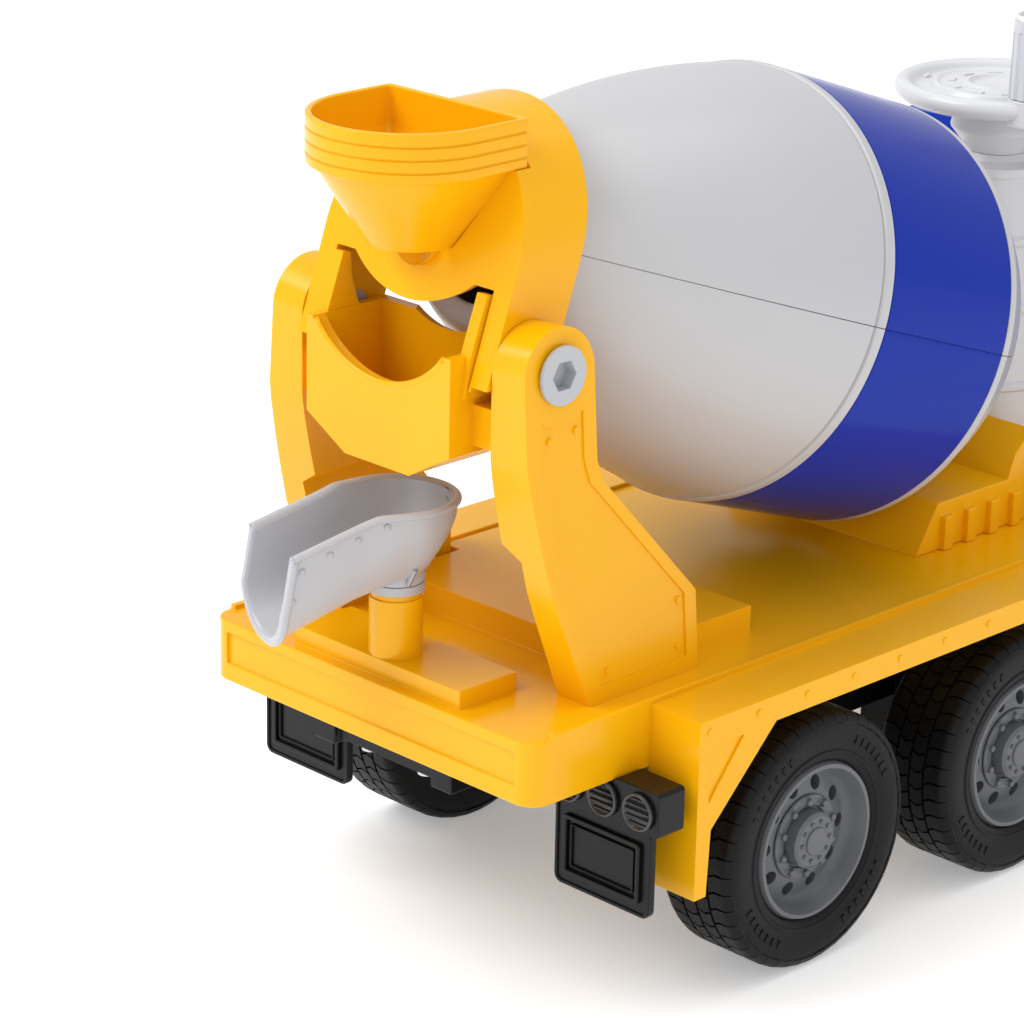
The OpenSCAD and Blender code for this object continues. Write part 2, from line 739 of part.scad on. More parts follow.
module crank_wheel() {
  color(white) at_deck() translate([tower_x, 0, crank_z - 9]) {
    difference() {
      cylinder(r = crank_r, h = 9, $fn = 96);
      translate([0, 0, -1]) cylinder(r = crank_r - 3, h = 7, $fn = 96);
      translate([0, 0, 7]) difference() {
        cylinder(r = crank_r - 5, h = 3, $fn = 96);
        translate([0, 0, -1]) cylinder(r = 22, h = 5, $fn = 96);
      }
      translate([0, 0, 7.8]) difference() {
        cylinder(r = 19, h = 3, $fn = 96);
        translate([0, 0, -1]) cylinder(r = 11, h = 5, $fn = 96);
      }
    }
    difference() {
      translate([0, 0, -0.2]) cylinder(r = 9, h = 7, $fn = 64);
      translate([0, 0, -1]) cylinder(r = crank_shaft_r, h = 6, $fn = 64);
    }
    rotate([0, 0, knob_a]) translate([knob_off, 0, 0]) {
      cylinder(r = 8.4, h = 9.6, $fn = 64);
      translate([0, 0, 9.5]) cylinder(r = knob_post_r, h = 24, $fn = 48);
    }
  }
}

module crank_shaft() {
  color(steel) at_deck() translate([tower_x, 0, 0]) {
    translate([0, 0, gear_z + gear_hi])
      cylinder(r = crank_shaft_r, h = crank_z - 4 - gear_z - gear_hi, $fn = 64);
    translate([0, 0, gear_z + gear_hi - 0.1]) cylinder(r = 8, h = 6, $fn = 64);
    translate([0, 0, gear_z + gear_lo])
      cylinder(r1 = gear_r(gear_lo), r2 = gear_r(gear_hi), h = gear_hi - gear_lo, $fn = 72);
  }
}

module knob_grip() {
  color(white) at_deck() translate([tower_x, 0, crank_z + 0.9])
    rotate([0, 0, knob_a]) translate([knob_off, 0, 0]) difference() {
      cylinder(r1 = 8.1, r2 = 7.6, h = knob_h, $fn = 72);
      for (a = [0 : 30 : 330]) rotate([0, 0, a]) translate([8.2, 0, -1]) cylinder(r = 1.1, h = 26, $fn = 24);
      translate([0, 0, -1]) cylinder(r = knob_post_r + run, h = 25, $fn = 48);
    }
}

module knob_cap() {
  color(steel) at_deck() translate([tower_x, 0, crank_z + 0.9 + knob_h])
    rotate([0, 0, knob_a]) translate([knob_off, 0, 0]) {
      cylinder(r = 6.4, h = 2.2, $fn = 64);
      translate([0, 0, 2.1]) cylinder(r1 = 6.2, r2 = 5, h = 1, $fn = 64);
    }
}

// ---- chute ---------------------------------------------------------------

// Chute frame: origin on the pivot, local X points out along the chute.
module at_chute() {
  at_deck() translate([chute_x, 0, 0]) rotate([0, 0, 180 - chute_turn]) children();
}

module chute_side() {
  polygon([
    [-22, chute_z], [14.5, chute_z], [45.5, 162], [49, 148.6], [49, 137], [47.8, 126], [47.8, 100], [-22, 100]
  ]);
}

// Channel solid of radius r: a bowl round the pivot and a sloping half pipe.
module chute_body(r, lift) {
  translate([0, 0, 163 + lift]) sphere(r = r + 2.4, $fn = 64);
  translate([0, 0, 163 + lift]) cylinder(r = r + 2.4, h = 30, $fn = 64);
  translate([0, 0, 163 + lift]) rotate([0, 109, 0]) {
    cylinder(r = r, h = 80, $fn = 64);
    translate([-60, -r, 0]) cube([60, 2 * r, 80]);
  }
}

module chute() {
  color(grey) at_chute() {
    difference() {
      intersection() {
        chute_body(chute_w / 2, 0);
        side_prism(-30, 30) chute_side();
        span_box([-30, -30, 142.4], [14, 30, 180]);
      }
      chute_body(chute_w / 2 - 2, 0.4);
    }
    difference() {
      intersection() {
        chute_body(chute_w / 2, 0);
        side_prism(-30, 30) chute_side();
        span_box([13.9, -30, 120], [60, 30, 180]);
      }
      chute_body(chute_w / 2 - 2, 0.4);
    }
    // Flat pad and gusset under the bowl, resting on the hub flange.
    difference() {
      union() {
        translate([0, 0, deck_z + 32.4]) cylinder(r = 9.8, h = 6, $fn = 64);
        side_prism(-0.9, 0.9) polygon([[-9.8, 142.4], [9.8, 142.4], [17, 150], [-15, 150]]);
      }
      chute_body(chute_w / 2 - 2, 0.4);
    }
    for (s = [-1, 1], p = [[20, 166], [31, 162], [42, 157.4], [45.6, 146]])
      bar_y(p[0], p[1], 1.1, s > 0 ? 17.4 : -18.6, s > 0 ? 18.6 : -17.4);
  }
}

module chute_hub() {
  color(grey) at_chute() {
    translate([0, 0, deck_z + 29.3]) cylinder(r = 9.8, h = 3.1, $fn = 64);
    translate([0, 0, deck_z + 10]) cylinder(r = pivot_r, h = 20, $fn = 64);
  }
}

// ---- wheels --------------------------------------------------------------

module axle(x) {
  color(steel) at_deck() bar_y(x, tyre_r, axle_r, -track_half + 8, track_half - 8);
}

module tyre_profile() {
  h = tyre_w / 2;
  polygon([
    [rim_r, -h + 3.4], [rim_r + 2, -h + 1.4], [rim_r + 8, -h], [tyre_r - 5, -h + 0.6],
    [tyre_r - 1, -h + 3], [tyre_r, -h + 5.4], [tyre_r, -8.2], [tyre_r - 2, -8.2],
    [tyre_r - 2, -6.4], [tyre_r, -6.4], [tyre_r, -0.9], [tyre_r - 2, -0.9], [tyre_r - 2, 0.9],
    [tyre_r, 0.9], [tyre_r, 6.4], [tyre_r - 2, 6.4], [tyre_r - 2, 8.2], [tyre_r, 8.2],
    [tyre_r, h - 5.4], [tyre_r - 1, h - 3], [tyre_r - 5, h - 0.6], [rim_r + 8, h],
    [rim_r + 2, h - 1.4], [rim_r, h - 3.4]
  ]);
}

module tyre(x, s) {
  color(dark) at_deck() translate([x, s * (track_half - tyre_w / 2), tyre_r])
    rotate([90, 0, 0]) rotate_extrude($fn = 96) tyre_profile();
}

// Rim: local Z points to the outside of the truck.
module rim(x, s) {
  h = tyre_w / 2;
  color([0.36, 0.37, 0.39]) at_deck() translate([x, s * (track_half - h), tyre_r])
    rotate([-90 * s, 0, 0]) difference() {
      union() {
        rotate_extrude($fn = 96) polygon([
          [axle_r, -h + 6], [12, -h + 6], [14, -2], [26.4, -2], [26.4, -h + 4], [rim_r, -h + 4],
          [rim_r, h - 3.4], [28, h - 1.2], [26.6, h - 1.2], [25.4, h - 4], [24, h - 7],
          [22, h - 9], [16, h - 7.5], [10.6, h - 7.5], [10.2, h - 2.6], [9, h - 1.6], [axle_r, h - 1.6]
        ]);
        cylinder(r = axle_r + 0.5, h = h - 1.6, $fn = 32);
      }
      for (a = [0 : 36 : 324])
        rotate([0, 0, a]) translate([19.4, 0, -h]) cylinder(r = 2.6, h = 3 * h, $fn = 32);
      translate([0, 0, -h - 1]) cylinder(r = axle_r, h = 2 * h - 7, $fn = 48);
    }
}

// Lug ring with ten nuts, standing on the wheel disc.
module nut_ring(x, s) {
  h = tyre_w / 2;
  at_deck() translate([x, s * (track_half - h), tyre_r]) rotate([-90 * s, 0, 0]) {
    difference() {
      cylinder(r = 15.6, h = h - 6.3, $fn = 72);
      translate([0, 0, -1]) cylinder(r = 11.2, h = 2 * h, $fn = 72);
      translate([0, 0, -1]) cylinder(r = 16, h = h - 6.5, $fn = 72);
    }
    for (a = [0 : 36 : 324])
      rotate([0, 0, a + 18]) translate([13.4, 0, h - 7]) cylinder(r = 1.5, h = 2.6, $fn = 6);
  }
}

module wheel_nuts(x) {
  color([0.36, 0.37, 0.39]) {
    nut_ring(x, -1);
    nut_ring(x, 1);
  }
}

module axle_1() { axle(axle_1_x); }
module wheel_nuts_1() { wheel_nuts(axle_1_x); }
module tyre_1_right() { tyre(axle_1_x, -1); }
module tyre_1_left() { tyre(axle_1_x, 1); }
module rim_1_right() { rim(axle_1_x, -1); }
module rim_1_left() { rim(axle_1_x, 1); }
module axle_2() { axle(axle_2_x); }
module wheel_nuts_2() { wheel_nuts(axle_2_x); }
module tyre_2_right() { tyre(axle_2_x, -1); }
module tyre_2_left() { tyre(axle_2_x, 1); }
module rim_2_right() { rim(axle_2_x, -1); }
module rim_2_left() { rim(axle_2_x, 1); }
module axle_3() { axle(axle_3_x); }
module wheel_nuts_3() { wheel_nuts(axle_3_x); }
module tyre_3_right() { tyre(axle_3_x, -1); }
module tyre_3_left() { tyre(axle_3_x, 1); }
module rim_3_right() { rim(axle_3_x, -1); }
module rim_3_left() { rim(axle_3_x, 1); }

deck();
fender_right();
fender_left();
rear_guard_right();
rear_guard_left();
rear_lamps();
chute_post();
upright_right();
upright_left();
tilt_pin_right();
tilt_pin_left();
collar();
hopper();
trough();
cradle();
tower();
tower_cap();
chassis_frame();
fuel_tank();
battery_box();
cab_shell();
cab_windscreen();
cab_windows();
grille();
bumper();
headlamps();
roof_lamps();
mirror_right();
mirror_left();
exhaust();
frame_screws();
drum_shell_upper();
drum_shell_lower();
drum_band_upper();
drum_band_lower();
drum_shaft();
crank_wheel();
crank_shaft();
knob_grip();
knob_cap();
chute();
chute_hub();
axle_1();
wheel_nuts_1();
tyre_1_right();
tyre_1_left();
rim_1_right();
rim_1_left();
axle_2();
wheel_nuts_2();
tyre_2_right();
tyre_2_left();
rim_2_right();
rim_2_left();
axle_3();
wheel_nuts_3();
tyre_3_right();
tyre_3_left();
rim_3_right();
rim_3_left();
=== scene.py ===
import json
import math
import bpy
import bmesh
from mathutils import Matrix, Vector


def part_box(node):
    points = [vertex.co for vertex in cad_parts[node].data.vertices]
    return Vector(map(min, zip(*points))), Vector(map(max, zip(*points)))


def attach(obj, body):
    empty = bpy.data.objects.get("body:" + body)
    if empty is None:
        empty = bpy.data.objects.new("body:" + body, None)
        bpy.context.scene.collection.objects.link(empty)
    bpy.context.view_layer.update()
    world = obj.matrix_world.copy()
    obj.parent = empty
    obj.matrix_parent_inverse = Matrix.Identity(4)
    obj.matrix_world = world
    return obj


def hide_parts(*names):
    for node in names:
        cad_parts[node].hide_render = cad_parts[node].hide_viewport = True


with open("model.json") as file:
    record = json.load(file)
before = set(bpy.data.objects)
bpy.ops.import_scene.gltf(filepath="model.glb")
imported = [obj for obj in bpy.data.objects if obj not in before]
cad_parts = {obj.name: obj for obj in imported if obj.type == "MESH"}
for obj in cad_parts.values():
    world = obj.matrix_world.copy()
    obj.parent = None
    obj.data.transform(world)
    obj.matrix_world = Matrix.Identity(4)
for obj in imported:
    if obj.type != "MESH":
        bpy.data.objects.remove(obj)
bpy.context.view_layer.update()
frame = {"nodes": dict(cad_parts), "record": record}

nodes = frame["nodes"]
scene = bpy.context.scene
MM = 0.001
X_MID = -1000.0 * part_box("deck")[0].x  # deck rear face to the frame origin, mm
SIDES = (("right", -1), ("left", 1))


def P(x, y, z):
    """Deck millimetres (x from the deck rear face) to the row frame in metres."""
    return Vector(((x - X_MID) * MM, y * MM, z * MM))


# ---------------------------------------------------------------- materials

def plastic(name, color, rough=0.28, rough_var=0.02, bump=0.02, grain=900.0, tint=0.015,
            coat=0.0, metallic=0.0, sss=0.0, cloud=14.0, ior=1.5):
    """Moulded plastic: slow colour drift, uneven gloss and a fine skin texture."""
    m = bpy.data.materials.new(name)
    m.use_nodes = True
    nt = m.node_tree
    b = nt.nodes["Principled BSDF"]
    b.inputs["Metallic"].default_value = metallic
    b.inputs["IOR"].default_value = ior
    b.inputs["Coat Weight"].default_value = coat
    b.inputs["Coat Roughness"].default_value = 0.08
    if sss:
        b.inputs["Subsurface Weight"].default_value = sss
        b.inputs["Subsurface Radius"].default_value = (0.006, 0.004, 0.002)
        b.inputs["Subsurface Scale"].default_value = 0.6
    tc = nt.nodes.new("ShaderNodeTexCoord")
    slow = nt.nodes.new("ShaderNodeTexNoise")
    slow.inputs["Scale"].default_value = cloud
    slow.inputs["Detail"].default_value = 4.0
    fine = nt.nodes.new("ShaderNodeTexNoise")
    fine.inputs["Scale"].default_value = grain
    fine.inputs["Detail"].default_value = 3.0
    nt.links.new(tc.outputs["Object"], slow.inputs["Vector"])
    nt.links.new(tc.outputs["Object"], fine.inputs["Vector"])
    ramp = nt.nodes.new("ShaderNodeValToRGB")
    ramp.color_ramp.elements[0].position = 0.3
    ramp.color_ramp.elements[1].position = 0.72
    lo = [max(0.0, c * (1 - tint)) for c in color]
    hi = [min(1.0, c * (1 + tint)) for c in color]
    ramp.color_ramp.elements[0].color = (*lo, 1)
    ramp.color_ramp.elements[1].color = (*hi, 1)
    nt.links.new(slow.outputs["Fac"], ramp.inputs["Fac"])
    nt.links.new(ramp.outputs["Color"], b.inputs["Base Color"])
    mr = nt.nodes.new("ShaderNodeMapRange")
    mr.inputs["From Min"].default_value = 0.3
    mr.inputs["From Max"].default_value = 0.7
    mr.inputs["To Min"].default_value = max(0.02, rough - rough_var)
    mr.inputs["To Max"].default_value = rough + rough_var
    nt.links.new(slow.outputs["Fac"], mr.inputs["Value"])
    nt.links.new(mr.outputs["Result"], b.inputs["Roughness"])
    bp = nt.nodes.new("ShaderNodeBump")
    bp.inputs["Strength"].default_value = bump
    bp.inputs["Distance"].default_value = 0.0006
    nt.links.new(fine.outputs["Fac"], bp.inputs["Height"])
    nt.links.new(bp.outputs["Normal"], b.inputs["Normal"])
    return m


MAT = {
    "yellow_plastic": plastic("yellow_plastic", (0.88, 0.43, 0.002), rough=0.22, ior=1.34, bump=0.03,
                              grain=1400, sss=0.06),
    "blue_plastic": plastic("blue_plastic", (0.005, 0.027, 0.33), rough=0.14, ior=1.2, bump=0.02,
                            grain=1400),
    "white_plastic": plastic("white_plastic", (0.50, 0.50, 0.515), rough=0.30, bump=0.05, grain=1600),
    # Painted light: a lighter copy of the white plastic, so the tower, its cap, the knob grip and the crank
    # disc look more brightly lit than the drum
    "white_plastic_lit_copy": plastic("white_plastic_lit_copy", (0.66, 0.665, 0.69), rough=0.26, bump=0.05, grain=1600),
    "light_grey_plastic": plastic("light_grey_plastic", (0.46, 0.47, 0.50), rough=0.32, bump=0.07,
                                  grain=1300),
    "black_plastic": plastic("black_plastic", (0.006, 0.006, 0.0065), rough=0.30, ior=1.3, bump=0.10,
                             grain=1500, tint=0.12),
    "lamp_plastic": plastic("lamp_plastic", (0.045, 0.046, 0.05), rough=0.22, bump=0.05, tint=0.12),
    "tyre_rubber": plastic("tyre_rubber", (0.006, 0.006, 0.0065), rough=0.44, ior=1.24, rough_var=0.08,
                           bump=0.22, grain=1100, tint=0.2),
    "rim_grey": plastic("rim_grey", (0.105, 0.11, 0.12), rough=0.36, bump=0.10, grain=1500, tint=0.08),
    "steel": plastic("steel", (0.55, 0.56, 0.58), rough=0.25, metallic=1.0, bump=0.08, grain=700),
    "chrome": plastic("chrome", (0.80, 0.81, 0.83), rough=0.10, rough_var=0.03, metallic=1.0, bump=0.01),
    "window": plastic("window", (0.02, 0.026, 0.032), rough=0.06, rough_var=0.02, bump=0.01, coat=1.0),
    "lamp_clear": plastic("lamp_clear", (0.66, 0.70, 0.74), rough=0.08, rough_var=0.03, bump=0.06, grain=500,
                          coat=1.0),
    "lamp_amber": plastic("lamp_amber", (0.85, 0.22, 0.01), rough=0.12, bump=0.06, grain=500, coat=1.0),
}
SLOT_OF = {s["node"]: s["material_slot"] for s in frame["record"]["subparts"]}


def soften(o, width, segments=2, angle=32.0):
    """Rounds the sharp edges, as a moulding has them, and shades the rest smooth."""
    w = o.modifiers.new("weld", "WELD")
    w.merge_threshold = 1e-6
    b = o.modifiers.new("round", "BEVEL")
    b.width = width
    b.segments = segments
    b.limit_method = "ANGLE"
    b.angle_limit = math.radians(angle)
    b.harden_normals = False
    b.use_clamp_overlap = True
    for p in o.data.polygons:
        p.use_smooth = True
    n = o.modifiers.new("normals", "WEIGHTED_NORMAL")
    n.keep_sharp = True
    n.weight = 80


CAD_ROUNDING = 0.0006
# Painted light: these white plastic parts get the lighter copy of the white plastic instead of their own
# slot's material
LIT_WHITE_NODES = ("tower", "tower_cap", "knob_grip")
for name, o in nodes.items():
    o.data.materials.clear()
    o.data.materials.append(MAT["white_plastic_lit_copy" if name in LIT_WHITE_NODES else SLOT_OF[name]])
    soften(o, CAD_ROUNDING)

# ------------------------------------------------------------ mesh helpers

def make(name, part, mat, body, slot=None, stands_for=(), width=0.0, segments=2, matrix=None, angle=32.0):
    """A new piece from (vertices in mm, faces), riding on a CAD body."""
    verts, faces = part
    data = bpy.data.meshes.new(name)
    tmp = bmesh.new()
    vs = [tmp.verts.new((v[0] * MM, v[1] * MM, v[2] * MM)) for v in verts]
    tmp.verts.ensure_lookup_table()
    for f in faces:
        if len(set(f)) > 2:
            try:
                tmp.faces.new([vs[i] for i in f])
            except ValueError:
                pass
    bmesh.ops.remove_doubles(tmp, verts=tmp.verts, dist=2e-6)
    bmesh.ops.recalc_face_normals(tmp, faces=tmp.faces)
    tmp.transform(matrix)
    for f in tmp.faces:
        f.smooth = True
    tmp.to_mesh(data)
    tmp.free()
    data.materials.append(MAT[mat])
    o = bpy.data.objects.new(name, data)
    scene.collection.objects.link(o)
    if width:
        b = o.modifiers.new("round", "BEVEL")
        b.width = width * MM
        b.segments = segments
        b.limit_method = "ANGLE"
        b.angle_limit = math.radians(angle)
    n = o.modifiers.new("normals", "WEIGHTED_NORMAL")
    n.keep_sharp = True
    n.weight = 80
    bpy.context.view_layer.update()
    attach(o, body)
    if stands_for:
        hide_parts(*stands_for)


def lathe(profile, segs=96, a0=0.0, a1=360.0):
    """Vertices and faces of a closed profile of (radius, height) turned about Z."""
    full = abs(a1 - a0) > 359.9
    n = len(profile)
    steps = segs if full else segs + 1
    verts = []
    for i in range(steps):
        a = math.radians(a0 + (a1 - a0) * i / segs)
        c, sn = math.cos(a), math.sin(a)
        verts += [(r * c, r * sn, h) for r, h in profile]
    faces = []
    for i in range(segs):
        j = (i + 1) % steps
        for k in range(n):
            k2 = (k + 1) % n
            faces.append((i * n + k, j * n + k, j * n + k2, i * n + k2))
    if not full:
        faces.append(tuple(range(n - 1, -1, -1)))
        faces.append(tuple((steps - 1) * n + k for k in range(n)))
    return verts, faces


def join(parts):
    """Puts several (verts, faces) together."""
    verts, faces = [], []
    for v, f in parts:
        k = len(verts)
        verts += list(v)
        faces += [tuple(i + k for i in q) for q in f]
    return verts, faces


def moved(part, m):
    v, f = part
    return [tuple(m @ Vector(p)) for p in v], f


def turned(deg, x=0.0, axis="Z"):
    """Turn about an axis, after a shift of x along X."""
    return Matrix.Rotation(math.radians(deg), 4, axis) @ Matrix.Translation((x, 0, 0))


def skirt(n):
    """Two end caps and the walls between two loops of n points."""
    faces = [tuple(range(n)), tuple(range(2 * n - 1, n - 1, -1))]
    return faces + [(i, (i + 1) % n, n + (i + 1) % n, n + i) for i in range(n)]


def prism(outline, lo, hi, axis="y"):
    """Closed outline of (a, b) pairs swept between lo and hi along an axis."""
    put = {
        "y": lambda a, b, t: (a, t, b),
        "x": lambda a, b, t: (t, a, b),
        "z": lambda a, b, t: (a, b, t),
    }[axis]
    return [put(a, b, lo) for a, b in outline] + [put(a, b, hi) for a, b in outline], skirt(len(outline))


def span(s, a, b):
    """The interval from a to b on side s, low end first."""
    return min(s * a, s * b), max(s * a, s * b)


def block(lo, hi):
    return prism([(lo[0], lo[2]), (hi[0], lo[2]), (hi[0], hi[2]), (lo[0], hi[2])], lo[1], hi[1])


def rect(a, b, axis_lo, axis_hi):
    """Flat bar of half-sizes a and b, lying between two heights."""
    return prism([(-a, -b), (a, -b), (a, b), (-a, b)], axis_lo, axis_hi, axis="z")


def deck_matrix(x=0.0, y=0.0, z=0.0):
    return Matrix.Translation(P(x, y, z))


def sweep(path, section, up=Vector((0, 0, 1))):
    """A section of (out, up) points carried along an open path."""
    n, m = len(section), len(path)
    verts = []
    for i, p in enumerate(path):
        t = (Vector(path[min(i + 1, m - 1)]) - Vector(path[max(i - 1, 0)])).normalized()
        side = t.cross(up)
        side = side.normalized() if side.length > 1e-4 else Vector((0, 1, 0))
        u2 = side.cross(t).normalized()
        verts += [tuple(Vector(p) + side * q[0] + u2 * q[1]) for q in section]
    faces = []
    for i in range(m - 1):
        a, b = i * n, (i + 1) * n
        faces += [(a + k, a + (k + 1) % n, b + (k + 1) % n, b + k) for k in range(n)]
    faces.append(tuple(range(n - 1, -1, -1)))
    faces.append(tuple((m - 1) * n + k for k in range(n)))
    return verts, faces


def round_section(rx, ry, n=12):
    turn = 2 * math.pi / n
    return [(rx * math.cos(turn * i), ry * math.sin(turn * i)) for i in range(n)]


def rounded(lo, hi, r, n=6):
    """Outline of a rectangle with round corners."""
    (a0, b0), (a1, b1) = lo, hi
    corners = ((a1 - r, b1 - r, 0), (a0 + r, b1 - r, 90), (a0 + r, b0 + r, 180), (a1 - r, b0 + r, 270))
    pts = []
    for ca, cb, q in corners:
        for i in range(n + 1):
            t = math.radians(q + 90 * i / n)
            pts.append((ca + r * math.cos(t), cb + r * math.sin(t)))
    return pts


def frame_ring(lo, hi, r, wide, x0, x1):
    """Raised border: an outer and an inner rounded rectangle between two planes."""
    out = rounded(lo, hi, r)
    inn = rounded((lo[0] + wide, lo[1] + wide), (hi[0] - wide, hi[1] - wide), max(0.4, r - wide))
    n = len(out)
    verts = [(x, a, b) for x in (x0, x1) for loop in (out, inn) for a, b in loop]
    faces = []
    for i in range(n):
        j = (i + 1) % n
        faces += [(i, j, n + j, n + i), (2 * n + i, 3 * n + i, 3 * n + j, 2 * n + j),
                  (i, 2 * n + i, 2 * n + j, j), (n + i, n + j, 3 * n + j, 3 * n + i)]
    return verts, faces


# ------------------------------------------------------------------- drum

TILT = 19.0
DRUM_LEN = 121.0  # mouth to the wide ring
DRUM_M = deck_matrix(168.2, 0, 217) @ Matrix.Rotation(math.radians(90 + TILT), 4, "Y")
SEAM = 0.07  # half gap between the two shells, degrees


def cone_r(s):
    """Outer radius of the rear cone at a place s along the axis."""
    u = (s + DRUM_LEN) / DRUM_LEN
    return 34 + 45.2 * u + 25.6 * u * (1 - u)


def arc(points, n):
    """Smooth run through three or more (r, h) points, by Catmull-Rom."""
    out = []
    pts = [points[0]] + list(points) + [points[-1]]
    for i in range(1, len(pts) - 2):
        p0, p1, p2, p3 = pts[i - 1:i + 3]
        for k in range(n):
            t = k / n
            out.append(tuple(0.5 * ((2 * p1[j]) + (-p0[j] + p2[j]) * t
                                    + (2 * p0[j] - 5 * p1[j] + 4 * p2[j] - p3[j]) * t * t
                                    + (-p0[j] + 3 * p1[j] - 3 * p2[j] + p3[j]) * t ** 3) for j in (0, 1)))
    out.append(pts[-2])
    return out


def drum_profile():
    rear_cone = [(cone_r(s) - 0.05, s) for s in [-119.6 + 114.2 * i / 30 for i in range(31)]]
    nose = arc([(78.2, 74.8), (74.8, 80.4), (66.8, 94.2), (54, 110), (41, 122.6)], 6)
    outer = ([(26.5, -121), (32.6, -121)] + rear_cone
             + [(77.4, -5.0), (78.9, -4.6), (79.15, -4.0), (79.15, -0.4), (78.8, 0.0), (78.3, 0.0),
                (78.3, 70.0), (78.8, 70.0), (79.15, 70.4), (79.15, 73.0), (78.9, 73.6)] + nose
             + [(39.6, 124), (12, 124)])
    inner = [(12, 121.6), (38.6, 121.6), (52, 108.6), (65, 92.4), (72.4, 80), (75.4, 74), (75.4, -4),
             (73.4, -6)]
    inner += [(cone_r(s) - 3.0, s) for s in (-20, -40, -60, -80, -100)]
    return outer + inner + [(31, -118.6), (25.2, -118.6), (25.2, -120.2)]


def half_turn(profile, half):
    a0 = 90.0 if half == "upper" else 270.0
    return lathe(profile, 96, a0 + SEAM, a0 + 180 - SEAM)


BAND = [(78.32, 0.12), (79.0, 0.12), (79.12, 0.5), (79.12, 69.5), (79.0, 69.88), (78.32, 69.88)]
for half in ("upper", "lower"):
    make("drum_" + half, half_turn(drum_profile(), half), "white_plastic", "drum",
         stands_for=("drum_shell_" + half,), matrix=DRUM_M, width=0.35)
for half in ("upper", "lower"):
    make("band_" + half, half_turn(BAND, half), "blue_plastic", "drum",
         stands_for=("drum_band_" + half,), matrix=DRUM_M)

# ------------------------------------------------------------------ tyres

PITCHES = 44
TREAD_BASE = 44.8
TREAD_TOP = 46.62


def polar(r, deg, h):
    t = math.radians(deg)
    return (r * math.cos(t), r * math.sin(t), h)


def tread_block(points, shrink=0.95):
    """A block of tread over a polygon of (angle, height) points."""
    n = len(points)
    ca = sum(q[0] for q in points) / n
    ch = sum(q[1] for q in points) / n
    vs = [polar(TREAD_BASE, a, h) for a, h in points]
    vs += [polar(TREAD_TOP, ca + (a - ca) * shrink, ch + (h - ch) * shrink) for a, h in points]
    return vs, skirt(n)


def carcass():
    """Body of the tyre under the tread, with a bead and a smooth sidewall."""
    side = [(28.7, 12.6), (29.0, 13.9), (30.0, 14.8), (31.4, 15.1), (31.9, 15.6), (32.9, 15.7), (33.4, 15.3),
            (35.2, 15.6), (37.4, 15.9), (40.2, 16.0), (42.4, 15.8), (43.8, 15.2), (44.6, 13.9), (44.9, 12.2)]
    right = [(r, -h) for r, h in side]
    left = [(r, h) for r, h in reversed(side)]
    return lathe(right + [(45.1, -7), (45.2, 0), (45.1, 7)] + left, 132)


def shoulder_block(c, step, sgn):
    """Outer block: almost closed, with one short notch on each side."""
    ring = [(44.6, 11.8), (46.62, 12.2), (46.5, 13.2), (46.0, 14.4), (45.0, 15.4), (43.6, 15.95),
            (42.8, 15.6), (43.6, 13.4)]
    wide = [0.455, 0.455, 0.458, 0.464, 0.478, 0.497, 0.5, 0.5]
    vs = []
    for e in (-1, 1):
        vs += [polar(r, c + e * w * step, sgn * h) for (r, h), w in zip(ring, wide)]
    return vs, skirt(len(ring))


def side_bar(t0):
    """Plain raised bar on the sidewall."""
    corners = ((36.4, t0), (39.4, t0), (39.4, t0 + 2.4), (36.4, t0 + 2.4))
    return [polar(r, t, h) for h in (15.4, 16.25) for r, t in corners], skirt(4)


def tyre_part():
    """Tyre with four rows of blocks, notched shoulders and plain sidewall bars."""
    parts = [carcass()]
    step = 360.0 / PITCHES
    g = 0.455 * step
    v = 0.20 * step
    for i in range(PITCHES):
        for sgn in (1, -1):
            a = i * step + (0 if sgn > 0 else 0.5 * step)
            c = a + 0.5 * step
            inner = [(a - g, 0.35), (a + g, 0.35), (a + g + v, 3.2), (a + g, 6.1), (a - g, 6.1),
                     (a - g + v, 3.2)]
            outer = [(c - g + v, 6.8), (c + g + v, 6.8), (c + g, 9.6), (c + g, 12.4), (c - g, 12.4),
                     (c - g, 9.6)]
            parts += [tread_block([(q, sgn * h) for q, h in poly]) for poly in (inner, outer)]
            parts.append(shoulder_block(c, step, sgn))
    parts += [side_bar(group * 90 + 24 + k * 6) for group in range(4) for k in range(7)]
    return join(parts)


def hub_part():
    """Ten small bolts and a raised disc."""
    disc = lathe([(0.2, 14.6), (5.0, 14.6), (5.2, 15.0), (5.0, 15.45), (4.6, 15.6), (0.2, 15.6)], 40)
    bolt = lathe([(0.05, 14.4), (0.85, 14.4), (0.85, 15.3), (0.6, 15.7), (0.05, 15.85)], 12)
    return join([disc] + [moved(bolt, turned(36 * k, 7.2)) for k in range(10)])


AXLES = {1: 120.5, 2: 235.0, 3: 432.0}
TYRE_Y = 84.5
WHEEL_R = 46.7


def on_wheels(name, part, mat, replaced=None, **more):
    for i, x in AXLES.items():
        for side, s in SIDES:
            label = "%d_%s" % (i, side)
            make(name + label, part, mat, "wheelset_%d" % i,
                 stands_for=(replaced + label,) if replaced else (),
                 matrix=deck_matrix(x, s * TYRE_Y, WHEEL_R) @ turned(-90 * s, axis="X"), **more)


on_wheels("tread_", tyre_part(), "tyre_rubber", replaced="tyre_", width=0.16, segments=1)
on_wheels("hub_bolts_", hub_part(), "rim_grey")

# ----------------------------------------------------------------- hopper

HOP_X = 17.0  # centre of the round part of the D
HOP_FRONT = 40.0  # flat front face
HOP_R = 33.0
SPOUT_X = 19.5
CORNER_R = 1.6


def corner(cx, cy, q0):
    """Nine points round a corner of the D, each with its direction."""
    out = []
    for i in range(9):
        q = q0 + 90 * i / 8
        out.append((q, cx + CORNER_R * math.cos(math.radians(q)), cy + CORNER_R * math.sin(math.radians(q))))
    return out


